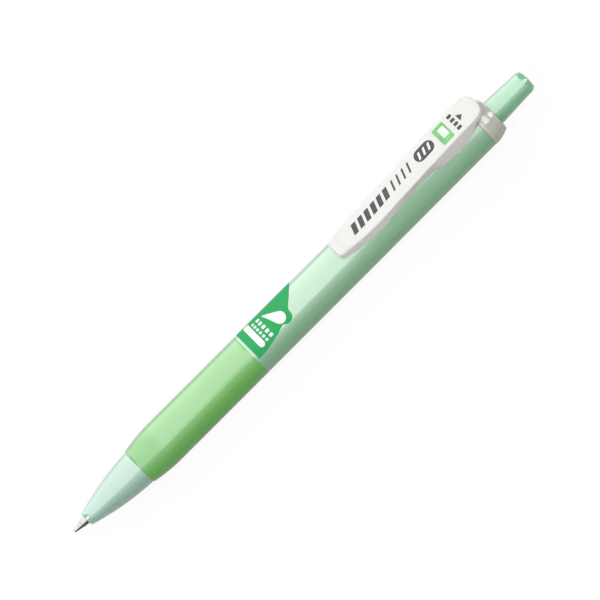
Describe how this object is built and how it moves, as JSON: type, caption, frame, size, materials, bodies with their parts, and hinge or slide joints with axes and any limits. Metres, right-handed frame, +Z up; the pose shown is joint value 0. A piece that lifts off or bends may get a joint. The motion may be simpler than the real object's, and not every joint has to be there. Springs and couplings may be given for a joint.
{
  "type": "retractable ballpoint pen",
  "caption": "Retractable ballpoint pen with a soft grip, a push button and a rocking clip that lets the tip spring back.",
  "frame": {"origin": "centre of the surface that the pen lies on, under the middle of its length, with the clip up", "axes": "+X along the pen from the writing tip to the button, +Z up through the clip, Y across"},
  "size_m": [0.142, 0.0109, 0.0149],
  "materials": {
    "barrel_plastic": "moulded pale green plastic, gloss",
    "grip_rubber": "smooth elastomer, satin",
    "nose_plastic": "moulded very pale green plastic, gloss",
    "label_print": "printed film, gloss",
    "crown_plastic": "moulded off-white plastic, satin gloss",
    "clip_plastic": "moulded white plastic, satin gloss",
    "button_plastic": "moulded green plastic, gloss",
    "inner_plastic": "natural moulded plastic",
    "tube_plastic": "translucent extruded tube",
    "bright_steel": "ground",
    "spring_steel": "drawn wire",
    "tip_metal": "turned nickel silver, bright",
    "ball_carbide": "ground carbide",
    "ink_black": "wet",
    "grease": "clear yellowish grease"
  },
  "bodies": {
    "body": {"barrel": "barrel_plastic", "grip_sleeve": "grip_rubber", "nose_cone": "nose_plastic", "label_film": "label_print", "crown": "crown_plastic", "pivot_pin": "bright_steel", "clip_spring": "spring_steel"},
    "button": {"push_button": "button_plastic", "slider": "inner_plastic", "latch_leaf": "spring_steel"},
    "refill": {"refill_tube": "tube_plastic", "tip_holder": "inner_plastic", "writing_tip": "tip_metal", "ink": "ink_black", "follower_grease": "grease", "tail_plug": "inner_plastic", "return_spring": "spring_steel", "ball": "ball_carbide"},
    "clip": {"clip": "clip_plastic"}
  },
  "joints": [
    {"name": "button_press", "type": "slide", "parent": "body", "child": "button", "axis": [1, 0, 0], "range_m": [-0.001, 0.005]},
    {"name": "refill_slide", "type": "slide", "parent": "body", "child": "refill", "axis": [1, 0, 0], "range_m": [-0.001, 0.005], "deforming": ["return_spring", "latch_leaf"]},
    {"name": "clip_rock", "type": "hinge", "parent": "body", "child": "clip", "pos_m": [0.0475, 0, 0.01195], "axis": [0, 1, 0], "range_deg": [0, 10], "stiffness_Nm_per_rad": 0.05, "springref_deg": -9.74, "deforming": ["clip_spring"]}
  ],
  "couplings": [
    {"joint": "refill_slide", "follows": "button_press", "ratio": 1}
  ]
}
